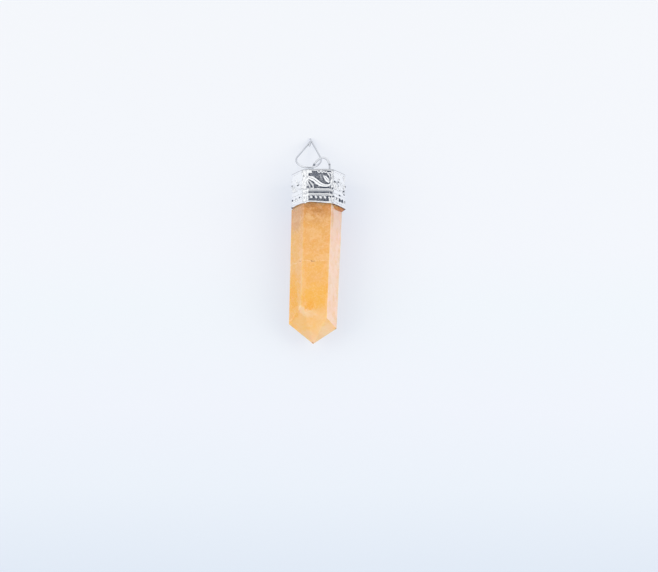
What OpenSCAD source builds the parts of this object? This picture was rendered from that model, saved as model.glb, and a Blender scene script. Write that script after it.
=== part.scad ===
// Crystal point pendant: a six-sided stone in a cast sleeve cap, with a teardrop wire bail.
// It lies on its side. X is across, +Y points from the stone's tip to the bail, Z = 0 is the floor.

/* [Stone] */
// Width of the stone from corner to corner, at the cap's rim
stone_w = 10.2; // [9:0.1:10.6]
// Length of stone that shows, from the cap's rim to the tip
stone_length = 27.5; // [20:0.5:34]
// How far each side face leans in toward the tip, in degrees
stone_taper = 0.67; // [0:0.05:1.2]
// How far the tip lies to the right of the stone's own axis
tip_shift = 0.2; // [-0.5:0.05:0.5]
// How far the stone sits to the left of the cap's axis, at the rim
seat_left = 0.3; // [0:0.05:0.4]
// How far the stone sits below the cap's axis, at the rim
seat_drop = 0.25; // [0:0.05:0.3]
// How far the stone turns to the left in its cap, in degrees
seat_turn = 1.9; // [0:0.1:2.5]

/* [Cap] */
// Width of the cap across its flats, over the widest ridge
cap_flats = 10; // [9.8:0.1:12]
// Length of the cap, without the eyelet
cap_length = 7; // [6.8:0.1:10]
// Rounding of the cap's six long corners
cap_corner_r = 1.1; // [0.8:0.05:1.6]
// Height of the ornament above the cap's ground
relief = 0.2; // [0.1:0.02:0.3]
// Thickness of the cap's sheet under its ground
sheet = 0.25; // [0.2:0.05:0.35]
// Thickness of the cap's closed end
end_plate = 0.5; // [0.4:0.05:0.6]
// Diameter of the beads in the row by the rim
bead_d = 0.66; // [0.5:0.02:0.8]
// Distance from bead to bead
bead_pitch = 0.9; // [0.85:0.05:1.1]

/* [Eyelet] */
// Diameter of the eyelet's wire
eyelet_wire = 0.45; // [0.4:0.01:0.5]
// Radius of the eyelet's round top, at the middle of the wire
eyelet_r = 1.82; // [1.7:0.02:2]
// Distance of the round top's centre from the cap's end
eyelet_reach = 1.58; // [1.4:0.02:1.8]
// Distance of the round top's centre to the right of the cap's axis
eyelet_right = 0.72; // [0.5:0.02:0.9]
// How far the left leg slants, in degrees
eyelet_slant = 30; // [20:1:35]
// How far the eyelet is rolled about the cap's axis, its left leg down, in degrees
eyelet_roll = 26; // [20:1:32]

/* [Bail] */
// Diameter of the bail's wire
bail_wire = 0.42; // [0.36:0.01:0.44]
// Radius of the bail's round end, at the middle of the wire
bail_r = 2.43; // [2.2:0.01:2.8]
// Half of the angle between the bail's straight legs, in degrees
bail_half_angle = 23.5; // [20:0.5:28]
// How far the right leg runs on past the left one
bail_overrun = 0.7; // [0.3:0.05:1]
// Length of the left leg's end, turned back inside
bail_tail = 1.7; // [1:0.1:2.2]
// How far the bail turns to the right, in degrees
bail_turn = 3.5; // [0:0.5:6]
// Place round the bail's round end that lies in the eyelet, in degrees from the bail's point
bail_seat_angle = 135; // [130:1:140]
// Place round the eyelet's top where the bail lies and swings, in degrees from the right
eyelet_seat_angle = 153; // [145:1:160]

/* [Fit] */
// Gap between the stone's root and the cap's inside
seat_gap = 0.1; // [0.05:0.01:0.15]
// Gap between the stone's root and the cap's closed end
root_gap = 0.5; // [0.3:0.1:2]
// Gap between the eyelet's wire and the bail's
swing_gap = 0.22; // [0.2:0.01:0.26]
// Gap under what nearly touches the floor
floor_gap = 0.02; // [0.01:0.01:0.05]

/* [Hidden] */
// Side faces of the stone: bearing in degrees, distance from the axis as a share of half the width
SIDE_FACES = [[27, 0.891], [90, 0.837], [149, 0.857], [208, 0.883], [270, 0.81], [332, 0.883]];
// Tip faces of the stone: bearing in degrees, fall from the tip for each unit outward
TIP_FACES = [[46, 1.01], [105, 1.47], [122, 1.43], [215, 0.95], [270, 1.1], [325, 0.88]];
// Raised bands round the cap: start and end as shares of its length, height as a share of the relief
BANDS = [[0, 0.05, 0.75], [0.235, 0.285, 0.7], [0.33, 0.42, 1], [0.955, 1, 0.8]];
// Middle of the bead row, and the two ends of the scroll field, as shares of the cap's length
bead_row_at = 0.175;
SCROLL_FIELD = [0.42, 0.955];
// Strokes of the scroll on each flat: across as a share of a side, up as a share of the field,
// half the stroke's width as a share of a side
VINE = [
    [-0.48, 0.26, 0.02], [-0.45, 0.47, 0.035], [-0.36, 0.6, 0.055], [-0.22, 0.52, 0.065],
    [-0.07, 0.35, 0.07], [0.16, 0.14, 0.06], [0.3, 0.1, 0.05], [0.42, 0.24, 0.045],
    [0.46, 0.52, 0.04], [0.44, 0.79, 0.035], [0.36, 0.86, 0.03], [0.3, 0.77, 0.02]
];
LEAF = [[-0.27, 0.36, 0.02], [-0.21, 0.24, 0.035], [-0.17, 0.08, 0.02]];
SPRIG = [[-0.36, 0.32, 0.02], [-0.3, 0.2, 0.035], [-0.28, 0.06, 0.02]];
BUD = [[0.22, 0.68, 0.02], [0.28, 0.5, 0.07], [0.36, 0.28, 0.02]];
SCALLOP = [[-0.06, 0.9, 0.035], [0.05, 0.92, 0.04], [0.16, 0.88, 0.035]];
// How far the strokes stay below the widest ridge, as a share of the relief
stroke_dip = 0.1;
// How far the bail's left leg stops short of its point, in wire diameters
leg_stop = 1.5;
stroke_steps = 3;
corner_steps = 5;
arc_steps = 40;
wire_sides = 10;
ball_facets = 24;
joint_overlap = 0.3;
solder_d = 0.8;
big = 3 * (stone_length + cap_length);
tiny = 0.0001;

sides = 6;
flat_turn = 360 / sides;
cap_axis_z = cap_flats / 2;
side_w = cap_flats * tan(flat_turn / 2);
stone_half = stone_w / 2;
inside = relief + sheet;
root_depth = cap_length - end_plate - root_gap;
bead_count = floor((side_w / 2 - cap_corner_r * tan(flat_turn / 2)) / bead_pitch);

// Fall of the stone that sets its lower shoulder on the floor
bottom_face = stone_half * SIDE_FACES[4][1];
bottom_tip_slope = TIP_FACES[4][1];
tip_fall = bottom_tip_slope * (bottom_face - tan(stone_taper) * stone_length)
    / (1 - bottom_tip_slope * tan(stone_taper));
shoulder_at = stone_length - tip_fall;
shoulder_half = bottom_face - tan(stone_taper) * shoulder_at;
seat_fall = asin((cap_axis_z - seat_drop - floor_gap) / norm([shoulder_at, shoulder_half]))
    - atan2(shoulder_half, shoulder_at);

// Place in the eyelet about which the bail swings: in the eyelet's plane, and from the cap's end
swing_r = eyelet_r - (eyelet_wire + bail_wire) / 2 - swing_gap;
swing_across = eyelet_right + swing_r * cos(eyelet_seat_angle);
swing_out = eyelet_reach + swing_r * sin(eyelet_seat_angle);
swing_right = swing_across * cos(eyelet_roll);
swing_up = swing_across * sin(eyelet_roll);

// Slope of the bail that sets its point on the floor
bail_point = bail_r / sin(bail_half_angle);
bail_reach = bail_point + bail_overrun * cos(bail_half_angle) - bail_r * cos(bail_seat_angle);
bail_slope = asin((cap_axis_z + swing_up - floor_gap) / norm([bail_reach, bail_wire / 2]))
    - atan2(bail_wire / 2, bail_reach);

// The origin is halfway between the stone's tip and the bail's point
bail_far = swing_out + bail_reach * cos(bail_slope) + bail_wire / 2;
rim_y = (stone_length - cap_length - bail_far) / 2;

// Outline of the hexagonal cap, drawn in from its widest ridge
function hex_outline(inset) = [
    for (k = [0:sides - 1]) for (i = [0:corner_steps])
        let (c = (cap_axis_z - cap_corner_r) / cos(flat_turn / 2), r = cap_corner_r - inset,
             at = flat_turn * k, a = at + flat_turn * (i / corner_steps - 1 / 2))
        [c * cos(at) + r * cos(a), c * sin(at) + r * sin(a)]
];

// Smooth curve through rows of numbers
function between(a, b, c, d, t) =
    (2 * b + (c - a) * t + (2 * a - 5 * b + 4 * c - d) * t * t + (3 * b - 3 * c + d - a) * t * t * t) / 2;
function smooth(rows) = [
    for (i = [0:len(rows) - 2]) for (j = [0:stroke_steps - (i < len(rows) - 2 ? 1 : 0)])
        between(rows[max(i - 1, 0)], rows[i], rows[i + 1], rows[min(i + 2, len(rows) - 1)], j / stroke_steps)
];
function side_of(a, b) = [a[1] - b[1], b[0] - a[0]] / max(norm([b[0] - a[0], b[1] - a[1]]), tiny);

// A rail beside a smooth stroke, on one hand or the other
function rail(rows, hand) = [
    for (i = [0:len(rows) - 1])
        [rows[i][0], rows[i][1]]
            + hand * rows[i][2] * side_of(rows[max(i - 1, 0)], rows[min(i + 1, len(rows) - 1)])
];
function reversed(list) = [for (i = [len(list) - 1:-1:0]) list[i]];

// Rows of shares as millimetres across and along one flat of the cap
function on_flat(rows) = [
    for (r = rows) [
        r[0] * side_w,
        -cap_length * (SCROLL_FIELD[0] + (SCROLL_FIELD[1] - SCROLL_FIELD[0]) * r[1]),
        r[2] * side_w
    ]
];

// Turns a shape built on the Z axis, with the stone's tip up, to lie at the cap's rim
module laid_down() {
    translate([0, rim_y, cap_axis_z]) rotate([90, 0, 0]) children();
}

// All that lies behind a plane with the given bearing, which leans in toward the tip
module behind_face(bearing, at, lean) {
    rotate([0, 0, bearing]) translate(at) rotate([0, -lean, 0])
        translate([-big, -big / 2, -big / 2]) cube(big);
}

module stone() {
    intersection() {
        intersection_for(f = SIDE_FACES) behind_face(f[0], [f[1] * stone_half, 0, 0], stone_taper);
        translate([tip_shift, 0, stone_length])
            intersection_for(f = TIP_FACES) behind_face(f[0], [0, 0, 0], atan(1 / f[1]));
    }
}

// The room that the stone may take: all beyond the rim, and the cap's inside less the gap
module stone_room() {
    translate([-big / 2, -big / 2, seat_gap]) cube(big);
    translate([0, 0, -root_depth]) linear_extrude(root_depth + 2 * seat_gap)
        polygon(hex_outline(inside + seat_gap));
}

module crystal_point() {
    color([0.93, 0.66, 0.33]) laid_down() intersection() {
        translate([-seat_left, -seat_drop, 0]) rotate([seat_fall, -seat_turn, 0]) stone();
        stone_room();
    }
}

module band(from, to, inset) {
    translate([0, 0, -to * cap_length]) linear_extrude((to - from) * cap_length)
        polygon(hex_outline(inset));
}

// One stroke of the scroll, raised from the sheet of the flat that faces up
module stroke(rows) {
    curve = smooth(on_flat(rows));
    translate([0, cap_axis_z - inside, 0]) rotate([-90, 0, 0]) linear_extrude(inside + relief)
        mirror([0, 1]) polygon(concat(rail(curve, 1), reversed(rail(curve, -1))));
}

module scroll_field() {
    intersection() {
        band(SCROLL_FIELD[0], SCROLL_FIELD[1], relief * stroke_dip);
        for (k = [0:sides - 1]) rotate([0, 0, k * flat_turn])
            for (s = [VINE, LEAF, SPRIG, BUD, SCALLOP]) stroke(s);
    }
}

// One bead, as high as the widest ridge and rooted in the middle of the sheet
module bead(angle, out, across) {
    rotate([0, 0, angle]) translate([out - bead_d / 2, across, -bead_row_at * cap_length])
        rotate([0, 90, 0]) intersection() {
            sphere(d = bead_d, $fn = ball_facets);
            translate([-bead_d, -bead_d, bead_d / 2 - relief - sheet / 2]) cube(2 * bead_d);
        }
}

module bead_row() {
    corner_out = (cap_axis_z - cap_corner_r) / cos(flat_turn / 2) + cap_corner_r;
    for (k = [0:sides - 1]) {
        for (i = [-bead_count:bead_count]) bead(flat_turn * (k + 1 / 2), cap_axis_z, i * bead_pitch);
        bead(flat_turn * k, corner_out, 0);
    }
}

// A wire of round section along a flat route
module wire(route, d) {
    last = len(route) - 1;
    rings = [
        for (i = [0:last]) for (k = [0:wire_sides - 1])
            let (n = side_of(route[max(i - 1, 0)], route[min(i + 1, last)]), a = 360 * k / wire_sides)
            [route[i][0], route[i][1], 0] + d / 2 * [n[0] * cos(a), n[1] * cos(a), sin(a)]
    ];
    walls = [
        for (i = [0:last - 1]) for (k = [0:wire_sides - 1])
            let (a = i * wire_sides + k, b = i * wire_sides + (k + 1) % wire_sides)
            [a, a + wire_sides, b + wire_sides, b]
    ];
    ends = [
        [for (k = [0:wire_sides - 1]) k],
        [for (k = [wire_sides - 1:-1:0]) last * wire_sides + k]
    ];
    polyhedron(rings, concat(walls, ends));
}

// Points of an arc round a centre
function arc(centre, r, from, to) = [
    for (i = [0:arc_steps]) let (a = from + (to - from) * i / arc_steps) centre + r * [cos(a), sin(a)]
];

// The eyelet in its own plane: across, and out from the cap's end
module eyelet() {
    top = arc([eyelet_right, eyelet_reach], eyelet_r, 0, 180 - eyelet_slant);
    fall = [tan(eyelet_slant), 1];
    left_top = top[arc_steps];
    right_foot = [top[0][0], 0];
    left_foot = left_top - left_top[1] * fall;
    wire(concat([right_foot - [0, joint_overlap]], top, [left_foot - joint_overlap * fall]), eyelet_wire);
    for (foot = [left_foot, right_foot]) translate(foot) sphere(d = solder_d, $fn = ball_facets);
}

module cap() {
    color([0.8, 0.81, 0.83]) {
        laid_down() difference() {
            union() {
                band(0, 1, relief);
                for (b = BANDS) band(b[0], b[1], relief * (1 - b[2]));
                bead_row();
                scroll_field();
            }
            translate([0, 0, end_plate - cap_length]) linear_extrude(cap_length)
                polygon(hex_outline(inside));
        }
        translate([0, rim_y + cap_length, cap_axis_z]) rotate([0, -eyelet_roll, 0]) eyelet();
    }
}

// The bail in its own plane, round the centre of its round end, with its point up +Y
module teardrop() {
    round_end = arc([0, 0], bail_r, bail_half_angle, -180 - bail_half_angle);
    leg_way = [sin(bail_half_angle), cos(bail_half_angle)];
    point = [0, bail_point];
    right_end = point + bail_overrun * [-leg_way[0], leg_way[1]];
    left_end = point - leg_stop * bail_wire * leg_way;
    wire(concat([right_end], round_end, [left_end]), bail_wire);
    wire([point, point - [bail_wire / 2, bail_tail]], bail_wire);
}

module bail() {
    color([0.78, 0.79, 0.82])
        translate([swing_right, rim_y + cap_length + swing_out, cap_axis_z + swing_up])
            rotate([-bail_slope, 0, -bail_turn])
                translate(-bail_r * [sin(bail_seat_angle), cos(bail_seat_angle), 0]) teardrop();
}

crystal_point();
cap();
bail();
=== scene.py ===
"""Looks of a crystal point pendant that lies on a pale table: stone, cast silver cap, wire bail.

Shapes are worked out in millimetres in the frame's own axes: +Y from the stone's tip to the bail, +Z up.
"""
import math

import bmesh
import bpy
import mathutils
import numpy as np
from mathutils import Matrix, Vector


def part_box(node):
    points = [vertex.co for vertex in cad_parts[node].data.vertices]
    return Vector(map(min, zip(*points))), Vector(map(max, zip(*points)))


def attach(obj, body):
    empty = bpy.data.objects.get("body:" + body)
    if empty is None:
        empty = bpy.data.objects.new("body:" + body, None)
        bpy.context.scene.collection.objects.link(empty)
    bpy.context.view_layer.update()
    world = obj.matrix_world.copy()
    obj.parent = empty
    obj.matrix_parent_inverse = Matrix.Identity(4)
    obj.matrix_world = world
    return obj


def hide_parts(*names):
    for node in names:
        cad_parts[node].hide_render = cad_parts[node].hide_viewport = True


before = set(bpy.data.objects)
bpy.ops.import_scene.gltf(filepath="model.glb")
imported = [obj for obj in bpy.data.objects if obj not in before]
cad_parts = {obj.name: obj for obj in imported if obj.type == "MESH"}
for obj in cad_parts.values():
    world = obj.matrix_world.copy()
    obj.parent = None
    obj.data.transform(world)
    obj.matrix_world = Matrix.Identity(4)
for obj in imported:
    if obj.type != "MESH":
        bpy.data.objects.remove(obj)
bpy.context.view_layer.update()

MM = 0.001
CAP_LOW, CAP_HIGH = (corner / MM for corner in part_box("cap"))
STONE_TIP_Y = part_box("crystal_point")[0].y / MM

# Cap, in millimetres; the inner wall lies INSIDE under the top of the relief
RIM_Y = CAP_LOW.y
AXIS_Z = (CAP_LOW.z + CAP_HIGH.z) / 2
CAP_FLATS = CAP_HIGH.z - CAP_LOW.z
CAP_LENGTH = 7.0
CORNER_R = 1.1
RELIEF = 0.2
INSIDE = 0.45
END_PLATE = 0.5
SIDES = 6
SIDE_W = CAP_FLATS * math.tan(math.pi / SIDES)

# Points of the cap's mesh: across each side, along the sleeve, in toward the end plate's middle
COLUMNS_A_SIDE = 100
OUTER_ROWS = 137
PLATE_ROWS = 14

# Rows of ornament: start and end in millimetres from the rim, height as a share of the relief
BANDS = [(0.0, 0.4, 0.75), (1.42, 2.06, 0.7), (2.28, 3.05, 1.0), (6.68, 7.04, 0.8)]
# Profile of ridges and strokes: this share of it is round, the rest a roof of nearly straight slopes
ROUND_SHARE = 0.3
ROOF_POWER = 1.08
# The row of beads, in millimetres; beads lean, and are a little narrower than they are high
BEAD_AT, BEAD_D, BEAD_PITCH = 1.2, 0.66, 0.9
BEADS_A_SIDE = 6
BEAD_LEAN = 0.22
BEAD_NARROW = 1.08
# The scroll's field, in millimetres from the rim, its height as a share of the relief, and the steps
# from one point of a stroke to the next
FIELD = (2.94, 6.68)
SCROLL_HEIGHT = 0.92
CURVE_STEPS = 8

# Strokes of the scroll: across as a share of a side, up as a share of the field,
# half the stroke's width as a share of a side
VINE = [
    (-0.62, 0.16, 0.02), (-0.56, 0.34, 0.045), (-0.45, 0.52, 0.062), (-0.33, 0.6, 0.066),
    (-0.2, 0.555, 0.075), (-0.08, 0.43, 0.083), (0.03, 0.295, 0.08), (0.15, 0.205, 0.064),
    (0.28, 0.175, 0.05), (0.42, 0.235, 0.045), (0.5, 0.37, 0.042), (0.53, 0.58, 0.038),
    (0.5, 0.8, 0.034), (0.42, 0.9, 0.03), (0.34, 0.84, 0.02),
]
LEAF = [(-0.33, 0.46, 0.012), (-0.25, 0.33, 0.03), (-0.185, 0.19, 0.032), (-0.165, 0.06, 0.02)]
SPRIG = [(-0.4, 0.44, 0.012), (-0.35, 0.29, 0.03), (-0.3, 0.17, 0.032), (-0.285, 0.06, 0.02)]
BUD = [(0.19, 0.7, 0.025), (0.25, 0.61, 0.062), (0.32, 0.48, 0.076), (0.395, 0.34, 0.03)]
TONGUE = [(0.14, 0.9, 0.03), (0.105, 0.72, 0.04), (0.13, 0.52, 0.02)]
CURL = [(0.3, 0.93, 0.03), (0.37, 0.8, 0.035), (0.4, 0.7, 0.02)]
SCALLOPS = [[(x - 0.055, 0.965, 0.024), (x, 0.915, 0.03), (x + 0.055, 0.965, 0.024)]
            for x in (0.03, 0.14, 0.25)]
RINGLET = [
    (0.15, 0.52, 0.014), (0.03, 0.42, 0.02), (-0.03, 0.24, 0.023), (0.04, 0.08, 0.025), (0.17, 0.05, 0.024),
    (0.24, 0.16, 0.022), (0.18, 0.29, 0.02), (0.07, 0.26, 0.014),
]
TWIG = [(0.03, 0.42, 0.016), (-0.05, 0.56, 0.024), (0.0, 0.7, 0.018)]
HOOK = [(0.3, 0.5, 0.016), (0.37, 0.32, 0.025), (0.33, 0.12, 0.025), (0.27, 0.05, 0.016)]
BUDDED = [VINE, LEAF, SPRIG, BUD, TONGUE, CURL] + SCALLOPS
CURLED = [VINE[:9], LEAF, SPRIG, RINGLET, TWIG, HOOK, CURL]
SIDE_STROKES = [BUDDED, CURLED, BUDDED, CURLED, BUDDED, CURLED]
# Height of the tongues, as a share of the other strokes'
TONGUE_SHARE = 0.2
# How dark the hollows of each side are, from the side that faces up, clockwise from the tip: tarnish, set low
# on the two upper side flats as painted light that keeps them bright
SIDE_DARKENING = [0.95, 0.27, 0.8, 0.9, 0.8, 0.21]
# How far the rim is drawn back, in millimetres: at places across the top side, then in the middle
# of each other side
TOP_RIM = [(-0.5, 0.0), (-0.42, 0.13), (-0.25, 0.22), (0.0, 0.13), (0.25, -0.02), (0.5, 0.0)]
RIM_DRAW = [0.04, 0.2, 0.1, 0.2, 0.22]
# Worn corners, from the one to the right of the top side, clockwise from the tip: the radius that
# each is rounded to; the last is worn to a bevel instead, this far along each side and this soft
CORNER_ROUND = [1.95, 1.3, 1.7, 1.7, 1.7]
BEVEL = 0.88
BEVEL_SOFT = 0.22
# How far all sides but the top and bottom one swell at the cap's end, and the distance over which
# the rim's arcs fade, in millimetres
SIDE_SWELL, RIM_FADE = 0.1, 1.1
# Left part of the top side that is kept bright, a painted highlight: the place where it ends, and how dark it
# is
HIGHLIGHT_TO = -0.335
HIGHLIGHT_SHARE = 0.36
# How much all corners are rubbed bright: from this place out, and fully this much further
CORNER_RUB = 0.6
CORNER_RUB_FROM, CORNER_RUB_OVER = 0.43, 0.05
# Small dark pits beside the curls and beads of three sides, in millimetres: side, across, up,
# half the width, half the height
PITS = [
    (0, -2.2, 3.3, 0.17, 0.17), (0, 2.66, 3.25, 0.14, 0.14), (0, 1.95, 3.25, 0.14, 0.14),
    (0, -0.42, 6.5, 0.12, 0.12), (0, -1.76, 5.85, 0.16, 0.16), (0, -1.85, 1.32, 0.13, 0.13),
    (0, 1.95, 1.4, 0.2, 0.12), (0, 2.5, 1.32, 0.4, 0.1), (0, 2.3, 4.15, 0.13, 0.13),
    (0, 1.85, 6.5, 0.12, 0.12), (0, 0.1, 3.25, 0.12, 0.12), (0, 2.72, 2.2, 0.18, 0.2),
    (1, -2.3, 1.42, 0.36, 0.14), (1, -1.1, 1.24, 0.24, 0.26), (1, 0.14, 1.21, 0.24, 0.27),
    (1, 1.25, 1.2, 0.3, 0.28), (1, 2.5, 1.26, 0.45, 0.24), (1, -2.72, 2.15, 0.25, 0.18),
    (1, 1.7, 3.4, 0.32, 0.17), (1, 0.25, 2.2, 0.27, 0.15), (1, 1.7, 2.7, 0.25, 0.13),
    (1, -0.63, 4.8, 0.25, 0.13), (1, -1.73, 4.6, 0.3, 0.16), (1, 2.5, 4.6, 0.3, 0.16),
    (1, -2.5, 3.1, 0.28, 0.15),
    (5, -2.42, 4.6, 0.27, 0.14), (5, 0.34, 4.15, 0.25, 0.13), (5, -1.95, 1.5, 0.28, 0.15),
    (5, 0.95, 1.5, 0.25, 0.13), (5, -0.5, 1.5, 0.19, 0.1), (5, -2.5, 0.06, 0.35, 0.14),
]
# Depth of the pits in millimetres, how ragged they are, and where they end, in half sizes
PIT_DEPTH, PIT_RAGGED, PIT_REACH = 0.06, 0.5, 1.4
# Cast lumps at the ends of the top side's beads, ridges and field: left, right, low, high; the width
# of their slopes, and their height as a share of the relief
LUMPS = [(2.02, 2.74, 0.08, 1.16), (2.12, 2.5, 1.86, 2.45), (-2.7, -1.25, 6.2, 6.9)]
LUMP_SLOPE = 0.36
LUMP_HEIGHT = 0.9
# Unevenness of the open ground and of all the cast skin, in millimetres; a point is fully raised at
# this share of the relief
GROUND_GRAIN, SKIN_GRAIN = 0.012, 0.006
RAISED_FROM = 0.35

# Tarnish of creases: passes of the blur that finds them, depth that is fully dark as a share of the
# relief, darkness, and the part that rubbing takes away; of ground and pits; its unevenness
CREASE_PASSES = 20
CREASE_DEPTH = 0.34
CREASE_DARK = 1.35
CREASE_RUBBED = 0.4
GROUND_DARK = 0.27
PIT_DARK = 1.6
UNEVEN_DARK = 0.6
# Painted shade over the top side's ridges: from, to and how dark; their soft upper edge
SHADE_BANDS = [(1.42, 3.02, 0.24), (2.28, 2.66, 0.22)]
SHADE_EDGE = 0.12
# Lighter stretch of the top side: from, to and the share of its darkness that is left
LIGHTER_GAP = (1.25, 2.4, 0.64)
# Painted shade: the dark line round the cap's end, over this many rows
EDGE_DARK = 0.55
EDGE_ROWS = 3

# Inside of the cap: how dark it is, a row part of the way in, and the share of wear that reaches it
INSIDE_DARK = 0.8
INSIDE_ROW = 3.0
INSIDE_WEAR = 0.6
# Rim, from the inside out: distance from the rim, distance out from the inner wall, how dark
RIM_ROLL = [(0.15, 0.0, 0.8), (0.03, 0.05, 0.0), (0.0, 0.14, 0.0)]
# Closed end, from the sleeve's edge over a seam to the plate: height over the end, distance in from
# the ground, how dark
END_STEPS = [(0.0, 0.08, 0.25), (0.0, 0.24, 0.05), (-0.03, 0.34, 0.2), (-0.1, 0.38, 0.75), (-0.06, 0.44, 0.3)]
# End plate: dome and waves in millimetres, waves and spots to a millimetre, darkness, and how much
# spots add to it
PLATE_DOME = 0.05
PLATE_WAVES = 0.02
WAVES_TO_MM, SPOTS_TO_MM = 0.7, 0.9
PLATE_DARK, SPOT_DARK = 0.1, 0.32

# Wires: points round each, and the angles of the rings that round off an end, in degrees
WIRE_SIDES = 20
DOME_ANGLES = (30, 60, 80)

# Eyelet, in millimetres and degrees
EYELET_WIRE = 0.45
EYELET_R = 1.82
EYELET_REACH = 1.58
EYELET_RIGHT = 0.72
EYELET_SLANT = 30.0
EYELET_ROLL = 26.0
EYELET_SEAT = 153.0
EYELET_CROWN = 0.24
EYELET_SUNK = 0.3
# Steps of its arc, and how many of them the crown takes; points on its legs, as shares of each
EYELET_STEPS, CROWN_STEPS = 48, 46
RIGHT_LEG, LEFT_LEG = (0.0, 0.3, 0.6, 0.9), (0.35, 0.7, 1.0)

# Solder at the eyelet's feet, in millimetres: width, where it starts, height; its slope; its widest
# and its narrowest, as shares of its width and of the wire
SOLDER_D = 0.8
SOLDER_FROM, SOLDER_H = -0.1, 0.5
SOLDER_POWER = 1.6
SOLDER_WIDEST, SOLDER_NARROWEST = 1.15, 0.95
SOLDER_RINGS, SOLDER_SIDES = 9, 28

# Bail, in millimetres and degrees
BAIL_WIRE = 0.42
BAIL_R = 2.43
BAIL_HALF_ANGLE = 23.5
BAIL_OVERRUN = 0.7
BAIL_TAIL = 1.7
BAIL_TURN = 3.5
BAIL_SEAT = 135.0
BAIL_BULGE = 0.2
SWING_GAP = 0.22
FLOOR_GAP = 0.02
# Steps of its round end; its left leg stops this many wires short of the point, and has this many
# points from this share of its length on
BAIL_STEPS = 72
LEFT_SHORT = 1.5
LEFT_POINTS, LEFT_FROM = 12, 0.08


def add(name, data):
    """A new object in the scene."""
    thing = bpy.data.objects.new(name, data)
    bpy.context.scene.collection.objects.link(thing)
    return thing


def mesh_object(name, points, faces, smooth=True):
    """A mesh object from points in millimetres."""
    mesh = bpy.data.meshes.new(name)
    mesh.from_pydata([tuple(p) for p in np.asarray(points) * MM], [], faces)
    mesh.update()
    if smooth:
        mesh.polygons.foreach_set("use_smooth", [True] * len(mesh.polygons))
    return add(name, mesh)


def closed_faces(rows, columns, turned):
    """Faces of a tube of points, rows by columns, and of its two ends; turned flips them all."""
    faces = [
        (r * columns + c, r * columns + (c + 1) % columns,
         (r + 1) * columns + (c + 1) % columns, (r + 1) * columns + c)
        for r in range(rows - 1) for c in range(columns)
    ]
    last = (rows - 1) * columns
    faces.append(tuple(reversed(range(columns))))
    faces.append(tuple(range(last, last + columns)))
    return [tuple(reversed(face)) for face in faces] if turned else faces


def catmull(rows, steps):
    """A smooth curve through rows of numbers."""
    rows = np.array(rows, float)
    padded = np.vstack([rows[0], rows, rows[-1]])
    out = []
    for i in range(len(rows) - 1):
        a, b, c, d = padded[i:i + 4]
        for t in np.linspace(0, 1, steps, endpoint=False):
            out.append((2 * b + (c - a) * t + (2 * a - 5 * b + 4 * c - d) * t ** 2
                        + (3 * b - 3 * c + d - a) * t ** 3) / 2)
    out.append(rows[-1])
    return np.array(out)


def fill(tree, made, inputs):
    """Sets or links the sockets of a node."""
    for key, value in inputs.items():
        if isinstance(value, bpy.types.NodeSocket):
            tree.links.new(value, made.inputs[key])
        else:
            made.inputs[key].default_value = value


def node(tree, kind, inputs=None, **settings):
    """A shader node with its settings made and its sockets set or linked."""
    made = tree.nodes.new(kind)
    for key, value in settings.items():
        setattr(made, key, value)
    fill(tree, made, inputs or {})
    return made


def maths(tree, operation, a, b=0.0, clamp=False):
    """Result of one operation."""
    return node(tree, "ShaderNodeMath", {0: a, 1: b}, operation=operation, use_clamp=clamp).outputs[0]


def times(tree, a, b):
    """Product of two values."""
    return maths(tree, "MULTIPLY", a, b)


def vectors(tree, operation, inputs, output="Vector"):
    """Result of one operation on vectors."""
    return node(tree, "ShaderNodeVectorMath", inputs, operation=operation).outputs[output]


def blend(tree, share, a, b, kind="MIX"):
    """Mix of two colours."""
    return node(tree, "ShaderNodeMix", {0: share, 6: a, 7: b}, data_type="RGBA", blend_type=kind).outputs[2]


def ramp(tree, value, stops):
    """A colour or grey ramp: stops are (place, colour)."""
    made = node(tree, "ShaderNodeValToRGB", {"Fac": value})
    band = made.color_ramp
    while len(band.elements) < len(stops):
        band.elements.new(0.5)
    for element, (place, colour) in zip(band.elements, stops):
        element.position = place
        element.color = colour if isinstance(colour, tuple) else (colour, colour, colour, 1)
    return made.outputs["Color"]


def material(name):
    """A new material, its node tree and its shader."""
    made = bpy.data.materials.new(name)
    made.use_nodes = True
    tree = made.node_tree
    return made, tree, tree.nodes["Principled BSDF"]


def millimetres(tree):
    """The place on the object, in millimetres."""
    place = node(tree, "ShaderNodeTexCoord").outputs["Object"]
    return vectors(tree, "SCALE", {0: place, "Scale": 1 / MM})


def noise(tree, place, scale, detail, roughness, distortion=0.0):
    """Grey noise from 0 to 1."""
    return node(tree, "ShaderNodeTexNoise", {
        "Vector": place, "Scale": scale, "Detail": detail, "Roughness": roughness,
        "Distortion": distortion}).outputs["Fac"]


def bump(tree, height, strength, distance):
    """Normal of a surface with small heights, in millimetres."""
    return node(tree, "ShaderNodeBump", {
        "Height": height, "Strength": strength, "Distance": distance * MM}).outputs["Normal"]


def ramp_between(tree, value, zero_at, one_at, top=1.0):
    """Smooth step from 0 at one value to top at another."""
    return node(tree, "ShaderNodeMapRange", {
        "Value": value, "From Min": zero_at, "From Max": one_at, "To Max": top},
        interpolation_type="SMOOTHSTEP").outputs[0]


def split_y(tree, place):
    """Second part of a vector."""
    return node(tree, "ShaderNodeSeparateXYZ", {0: place}).outputs["Y"]


def drifted(tree, place, scale, roughness, spread):
    """Place with a shift that varies over the object, so that no mark has an even edge."""
    shift = node(tree, "ShaderNodeTexNoise", {
        "Vector": place, "Scale": scale, "Detail": 4.0, "Roughness": roughness}).outputs["Color"]
    shift = vectors(tree, "SUBTRACT", {0: shift, 1: (0.5, 0.5, 0.5)})
    shift = vectors(tree, "SCALE", {0: shift, "Scale": spread})
    return vectors(tree, "ADD", {0: place, 1: shift})


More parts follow.
